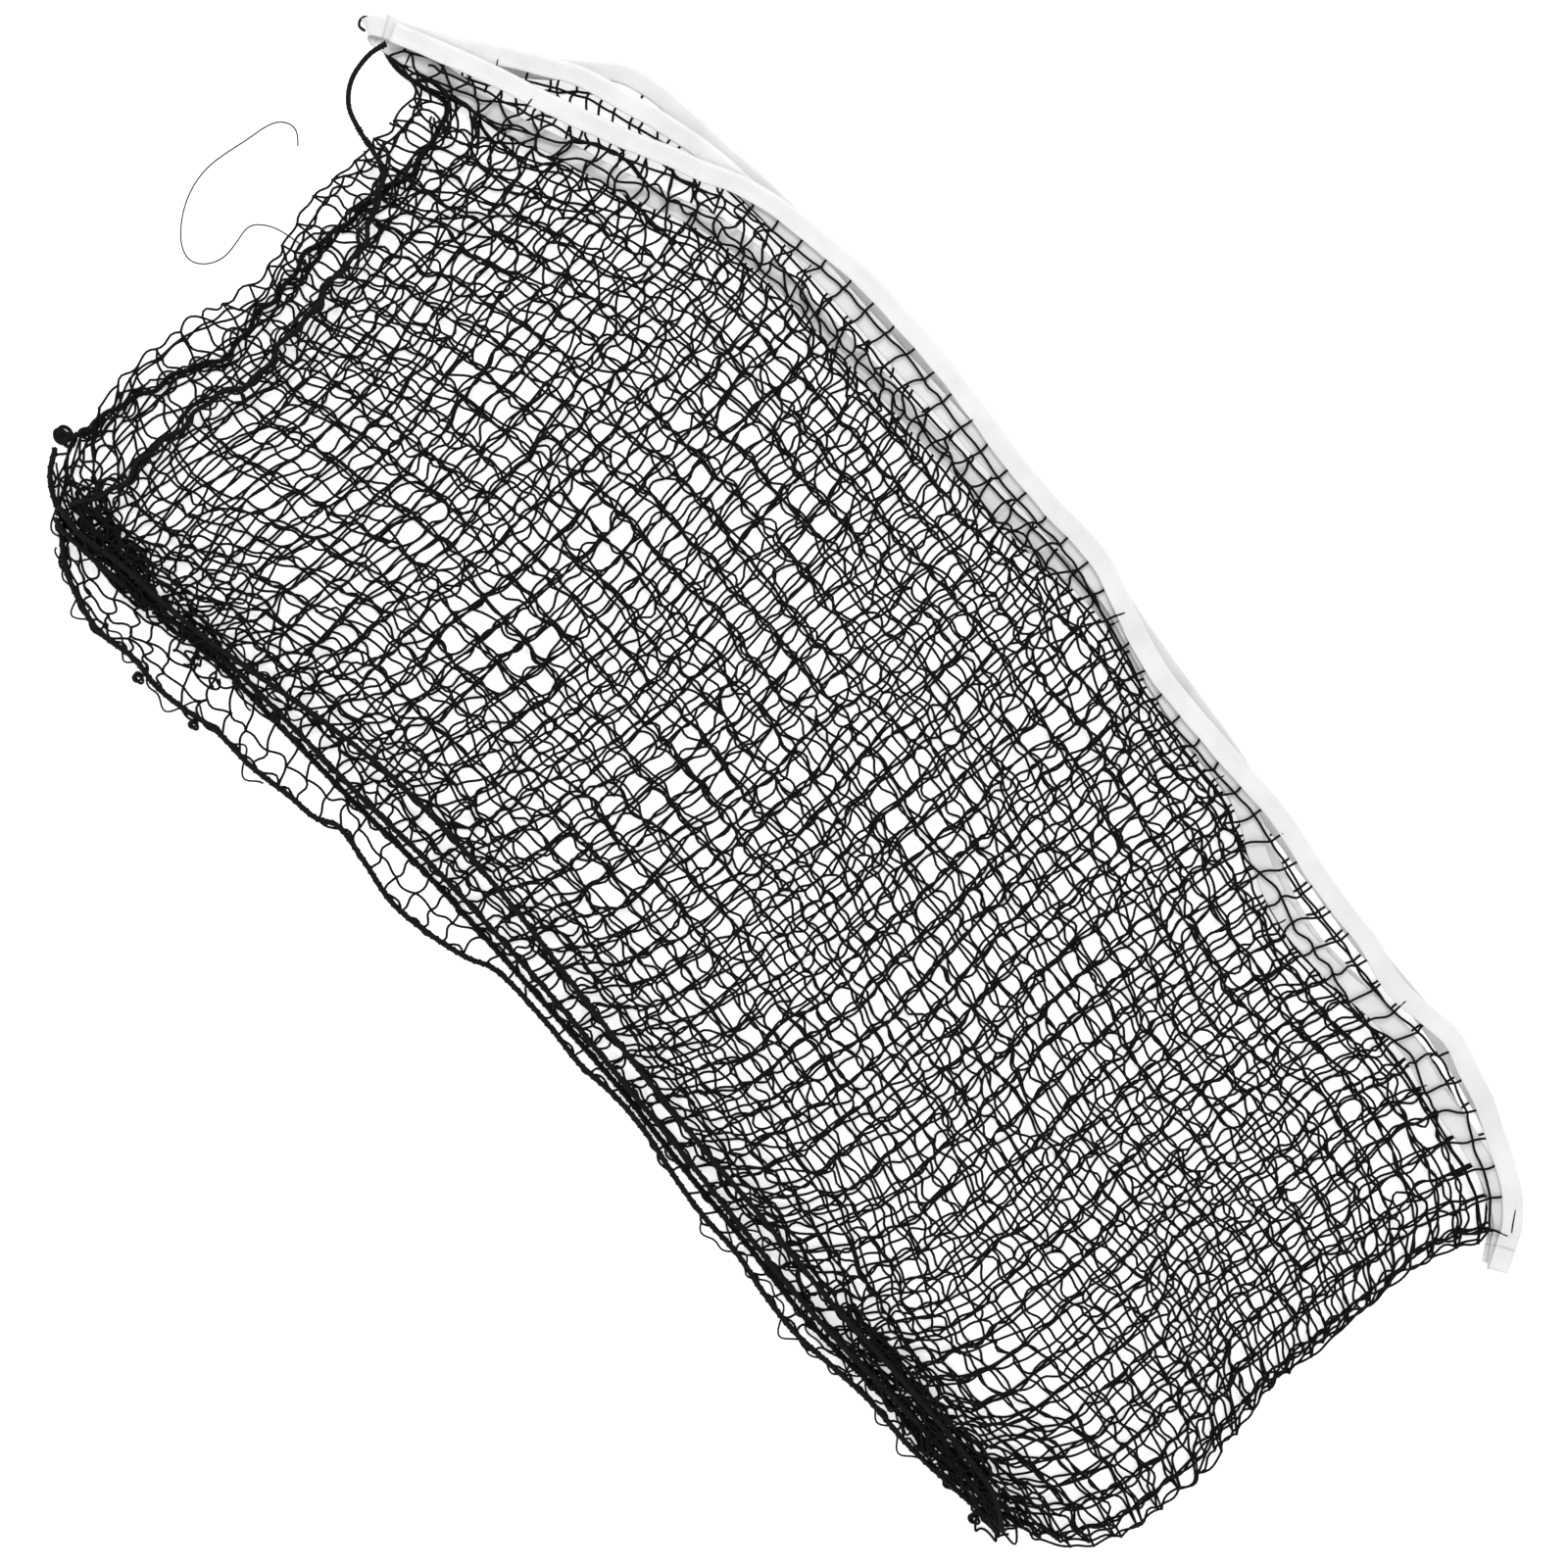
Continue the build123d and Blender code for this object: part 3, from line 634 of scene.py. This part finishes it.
bands = {}
for k in range(1, 5):
    path, nor = hem_path(k)
    bands[k] = (path, nor)
    N = len(path)
    s = np.arange(N) * .004
    end = np.minimum(s, s[-1] - s)
    fold_l, fold_r = k in (2, 3), True
    taper = np.ones(N)
    if fold_r:
        taper *= np.clip((s[-1] - s) / .09, 0, 1)
    if fold_l:
        taper *= np.clip(s / .09, 0, 1)
    taper = taper * taper * (3 - 2 * taper)
    t_edge = .0036 + .0012 * taper
    t_cord = .0044 + .0032 * taper
    ph = (s / MESH) % 1
    emb = .00045 * np.exp(-((ph - .5) * MESH / .0022) ** 2) * taper + .00025 * np.sin(s * 47 + k) * taper
    wob = .0006 * np.sin(s * 33 + k * 2) + .0004 * np.sin(s * 91 + k)
    bag = Bag()
    tape(bag, path, nor, t_edge, t_cord, emb, wob)
    ob = bag.make("band_%d" % k, VINYL)
    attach(ob, "layer_%d" % k)
    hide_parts("headband_%d" % k)
    # stitches through both plies
    bag = Bag()
    dash = []
    line = even(path, .0060)
    tt = np.gradient(line, axis=0)
    tt /= np.linalg.norm(tt, axis=1, keepdims=True)
    nn = np.stack([-tt[:, 1], tt[:, 0], np.zeros(len(tt))], axis=1)
    te = np.interp(np.linspace(0, 1, len(line)), np.linspace(0, 1, N), t_edge)
    for sgn in (1, -1):
        c = line + nn * .0036
        c[:, 2] += sgn * (te / 2 + .00012)
        q = np.stack([c - tt * .0019, c - tt * .0007, c + tt * .0007, c + tt * .0019], axis=1)
        q[:, 0, 2] -= sgn * .0004
        q[:, -1, 2] -= sgn * .0004
        tubes(bag, q, .00032, sides=5)
    ob = bag.make("stitching_%d" % k, STITCH)
    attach(ob, "layer_%d" % k)
    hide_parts("headband_stitching_%d" % k)
    # head cord in the closed edge
    bag = Bag()
    c = path + nor * .0232
    tubes(bag, c[None, 2:-2], np.interp(taper[2:-2], [0, 1], [.0014, .0021])[None], sides=10)
    ob = bag.make("head_rope_%d" % k, CORE)
    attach(ob, "layer_%d" % k)
    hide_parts("head_cord_%d" % k)

for k, side in ((1, 1), (2, 0), (3, 1)):
    (pa, na), (pb, nb) = bands[k], bands[k + 1]
    i, o = (-1, -2) if side else (0, 1)
    A, B = pa[i], pb[i]
    da = A - pa[o * 3 if side else 6]
    db = B - pb[o * 3 if side else 6]
    da, db = da / np.linalg.norm(da), db / np.linalg.norm(db)
    reach = TIP[k]
    r = .005
    pts, wd = [], []
    for t in np.linspace(0, 1, 6)[:-1]:
        pts.append(A + da * (reach - r) * t)
        wd.append(na[i])
    for ang in np.linspace(-math.pi / 2, math.pi / 2, 13):
        f = (ang + math.pi / 2) / math.pi
        d = da * (1 - f) + db * f
        c = (A + da * (reach - r)) * (1 - f) + (B + db * (reach - r)) * f
        q = c + d * r * math.cos(ang)
        q[2] = (base(k) + base(k + 1)) / 2 + .004 + r * math.sin(ang)
        pts.append(q)
        wd.append(na[i] * (1 - f) + nb[i] * f)
    for t in np.linspace(1, 0, 6)[1:]:
        pts.append(B + db * (reach - r) * t)
        wd.append(nb[i])
    pts, wd = arr(pts), arr(wd)
    bag = Bag()
    tape(bag, pts, wd, np.full(len(pts), .0036), np.full(len(pts), .0044))
    ob = bag.make("band_fold_%d" % k, VINYL)
    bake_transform(ob)

# ---- cords ------------------------------------------------------------------
def rope(bag, path, R, lobes=3, lay=.030, sides=12, depth=.13):
    """Laid rope: a lobed section that turns as it goes."""
    p = even(arr(path), .0035)
    N = len(p)
    t, a, b = (x[0] for x in frames(p[None]))
    s = np.arange(N) * .0035
    th = np.arange(sides) * 2 * math.pi / sides
    ph = s / lay * 2 * math.pi / lobes * lobes
    r = R * (1 - depth * .5 + depth * .5 * np.cos(lobes * (th[None] - ph[:, None] / 1)))
    ring = a[:, None] * np.cos(th)[None, :, None] + b[:, None] * np.sin(th)[None, :, None]
    v = p[:, None] + ring * r[..., None]
    i = np.arange(N - 1)[:, None] * sides
    j = np.arange(sides)[None]
    k = (j + 1) % sides
    bag.add(v, np.stack([i + j, i + k, i + sides + k, i + sides + j], -1).reshape(-1, 4))
    first = bag.n - N * sides
    bag.add(np.stack([p[0] - t[0] * R * .5, p[-1] + t[-1] * R * .5]), np.zeros((0, 3), int))
    c = bag.n - 2
    tri = []
    for s_ in range(sides):
        s2 = (s_ + 1) % sides
        tri += [(first + s2, first + s_, c), (first + (N - 1) * sides + s_, first + (N - 1) * sides + s2, c + 1)]
    bag.f.append(np.array(tri, np.int64))
    return p, t, a, b


def wander(bag, p, amp, n, r, lo=0.0, hi=1.0):
    """Slack strands that run along a cord and cross it."""
    p = p[int(lo * (len(p) - 1)):int(hi * (len(p) - 1)) + 1]
    t = np.gradient(p, axis=0)
    t /= np.linalg.norm(t, axis=1, keepdims=True)
    nor = np.stack([-t[:, 1], t[:, 0], np.zeros(len(t))], axis=1)
    s = np.arange(len(p)) * .004
    for _ in range(n):
        w = np.zeros(len(p))
        for lam in (.19, .085, .047):
            w += rng.uniform(.5, 1) * np.sin(s / lam * 2 * math.pi + rng.uniform(0, 6.28)) * lam ** .5
        w *= amp / .34
        q = p + nor * w[:, None]
        q[:, 2] = np.clip(p[:, 2] + rng.normal(0, .0012) + .0012 * np.sin(s * 60 + rng.uniform(0, 6.28)), p[:, 2] - .0022, p[:, 2] + .0022)
        tubes(bag, q[None], r, sides=5)


def lacing(bag, p, a, b, R, pitch, r):
    step = .0035
    s = np.arange(len(p)) * step
    fine = np.linspace(0, s[-1], int(s[-1] / pitch * 10))
    P = np.stack([np.interp(fine, s, p[:, i]) for i in range(3)], 1)
    A = np.stack([np.interp(fine, s, a[:, i]) for i in range(3)], 1)
    B = np.stack([np.interp(fine, s, b[:, i]) for i in range(3)], 1)
    ph = fine / pitch * 2 * math.pi + .5 * np.sin(fine * 21)
    q = P + (A * np.cos(ph)[:, None] + B * np.sin(ph)[:, None]) * R
    t = np.gradient(q, axis=0)
    tubes(bag, q[None], r, sides=5)


CZ = .0055
foot_paths = {}
for k in range(1, 5):
    f = smooth(FOOT[k], .004)
    p = np.concatenate([f, np.full((len(f), 1), base(k) + CZ)], axis=1)
    foot_paths[k] = p
    bag = Bag()
    q, t, a, b = rope(bag, p, .0043)
    lacing(bag, q, a, b, .0042, .0140, .00115)
    wander(bag, p, .0115, 1, .0016, .01, .24)
    wander(bag, p, .0100, 1, .0016, .70, .99)
    ob = bag.make("foot_rope_%d" % k, CORD)
    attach(ob, "layer_%d" % k)
    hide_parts("bottom_cord_%d" % k)

for k, side in ((1, 1), (2, 0), (3, 1)):
    i, o = (-1, -4) if side else (0, 3)
    A, B = foot_paths[k][i], foot_paths[k + 1][i]
    da, db = A - foot_paths[k][o], B - foot_paths[k + 1][o]
    da, db = da / np.linalg.norm(da), db / np.linalg.norm(db)
    m = (A + B) / 2 + (da + db) / np.linalg.norm(da + db) * .024
    ra, rb = (m - A)[:2], (m - B)[:2]
    ra, rb = ra / np.linalg.norm(ra), rb / np.linalg.norm(rb)
    zc, r = (A[2] + B[2]) / 2, (B[2] - A[2]) / 2
    pts = [A + (np.array([*(m[:2] - ra * r), A[2]]) - A) * t for t in (0, .25, .5, .75)]
    for ang in np.linspace(-math.pi / 2, math.pi / 2, 9):
        mix = (ang + math.pi / 2) / math.pi
        q = m[:2] - (ra * (1 - mix) + rb * mix) * (r - r * math.cos(ang))
        pts.append(np.array([*q, zc + r * math.sin(ang)]))
    pts += [B + (np.array([*(m[:2] - rb * r), B[2]]) - B) * t for t in (.75, .5, .25, 0)]
    pts = np.array(pts)
    bag = Bag()
    rope(bag, pts, .0040)
    ob = bag.make("foot_turn_%d" % k, CORD)
    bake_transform(ob)

for k, node, body, name in ((1, "side_cord_start", "layer_1", "side_rope_start"), (4, "side_cord_finish", "layer_4", "side_rope_finish")):
    f = smooth(SIDE[k], .004)
    if k == 4:
        f = f[6:]                      # the loop comes out at the band's net edge
    tn = np.gradient(f, axis=0)
    tn /= np.linalg.norm(tn, axis=1, keepdims=True)
    sl = np.arange(len(f)) * .004
    kink = (.0042 * np.sin(sl * 51 + k) + .0030 * np.sin(sl * 118 + 2 * k)) * np.clip((sl - .15) / .1, 0, 1) * np.clip((sl[-1] - sl) / .05, 0, 1)
    f = f + np.stack([-tn[:, 1], tn[:, 0]], axis=1) * kink[:, None]
    p = np.concatenate([f, np.full((len(f), 1), base(k) + .0054)], axis=1)
    bag = Bag()
    q, t, a, b = rope(bag, p, .0040, lay=.024)
    wander(bag, p, .0095, 4, .0018, .20, .97)
    # twine ties that hold the netting to the cord
    e = edge_u0[k]
    for m in e[1:-1]:
        j = int(np.argmin(((q[:, :2] - m) ** 2).sum(1)))
        j = min(max(j, 1), len(q) - 2)
        th = np.linspace(0, 2 * math.pi * 2, 25)
        h = q[j] + (a[j] * np.cos(th)[:, None] + b[j] * np.sin(th)[:, None]) * .0042 + t[j] * np.linspace(-.0045, .0045, 25)[:, None]
        tubes(bag, h[None], .0012, sides=5, ref=t[j])
    ob = bag.make(name, CORD)
    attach(ob, body)
    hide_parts(node)

# knots on the cords: an overhand lump of wound cord
def lump(bag, c, size, turns=(2, 3), r=.003):
    th = np.linspace(0, 2 * math.pi, 90, endpoint=False)
    p_, q_ = turns
    rr = 1 + .42 * np.cos(q_ * th)
    pts = np.stack([rr * np.cos(p_ * th) / 1.42 * (size[0] / 2 - r), rr * np.sin(p_ * th) / 1.42 * (size[1] / 2 - r),
                    np.sin(q_ * th) * (size[2] / 2 - r)], axis=1) + np.array(c)
    pts = np.vstack([pts, pts[:2]])
    tubes(bag, pts[None], r, sides=8)


bag = Bag()
kc = [(a_ + b_) / 2 for a_, b_ in zip(*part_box("corner_knot"))]
lump(bag, kc, (.040, .030, .0096), (2, 3), .0028)
lump(bag, (kc[0] - .004, kc[1] - .003, kc[2]), (.028, .022, .0094), (3, 2), .0026)
ob = bag.make("corner_lump", CORD)
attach(ob, "layer_1")
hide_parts("corner_knot")

for k, spots in LUMPS.items():
    bag = Bag()
    for x, y, sz in spots:
        lump(bag, (x, y, base(k) + .0052), (sz, sz * .8, .0100), (2, 3), .0021)
    ob = bag.make("cord_knots_%d" % k, CORD)
    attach(ob, "layer_%d" % k)

# small hook of black cord at the raw end of the headband
bag = Bag()
hk = smooth(HOOK, .002) + np.array([-.014, -.008, 0])
tubes(bag, hk[None], .0021, sides=8, cap=True)
ob = bag.make("head_rope_end", CORD)
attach(ob, "layer_1")

# loose end of twine on the floor
cu = bpy.data.curves.new("loose_twine", "CURVE")
cu.dimensions = "3D"
sp = cu.splines.new("NURBS")
sp.points.add(len(THREAD) - 1)
for q, p in zip(sp.points, THREAD):
    q.co = (*p, 1)
sp.order_u = 3
sp.use_endpoint_u = True
sp.resolution_u = 8
cu.bevel_depth = .001
cu.bevel_resolution = 3
cu.use_fill_caps = True
cu.materials.append(TWINE)
ob = bpy.data.objects.new("loose_twine", cu)
bpy.context.scene.collection.objects.link(ob)
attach(ob, "layer_1")
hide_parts("loose_thread")

# ---- floor, light, camera -----------------------------------------------------
me = bpy.data.meshes.new("floor")
me.from_pydata([(-9, -9, 0), (9, -9, 0), (9, 9, 0), (-9, 9, 0)], [], [(0, 1, 2, 3)])
fm = material("floor_white", (0.92, 0.92, 0.92), 0.8, spec=.1)
fb = fm.node_tree.nodes["Principled BSDF"]
fb.inputs["Emission Color"].default_value = (1, 1, 1, 1)
fb.inputs["Emission Strength"].default_value = .50
me.materials.append(fm)
floor = bpy.data.objects.new("floor", me)
bpy.context.scene.collection.objects.link(floor)

world = bpy.data.worlds.new("studio")
world.use_nodes = True
world.node_tree.nodes["Background"].inputs["Color"].default_value = (1, 1, 1, 1)
world.node_tree.nodes["Background"].inputs["Strength"].default_value = .82
bpy.context.scene.world = world


def area(name, loc, size, power):
    li = bpy.data.lights.new(name, "AREA")
    li.shape = "DISK"
    li.size = size
    li.energy = power
    ob = bpy.data.objects.new(name, li)
    ob.location = loc
    ob.rotation_euler = (Vector((0, 0, 0)) - Vector(loc)).to_track_quat("-Z", "Y").to_euler()
    bpy.context.scene.collection.objects.link(ob)


area("key", (-2.2, 2.6, 5.2), 2.4, 150)
area("fill", (2.6, -1.4, 4.6), 3.0, 60)

cam = bpy.data.cameras.new("camera")
cam.lens = 85
cam.sensor_width = 36
cam.clip_end = 50
co = bpy.data.objects.new("camera", cam)
cx, cy = CENTRE
right = Vector((0.66913, 0.74315, 0))
up = Vector((-0.74315, 0.66913, 0))
fwd = right.cross(up)
rot = Matrix((right, up, fwd)).transposed()
dist = FRAME_WIDTH * 85 / 36
co.matrix_world = Matrix.Translation((cx, cy, dist)) @ rot.to_4x4()
bpy.context.scene.collection.objects.link(co)
bpy.context.scene.camera = co
bpy.context.scene.view_settings.view_transform = "Standard"
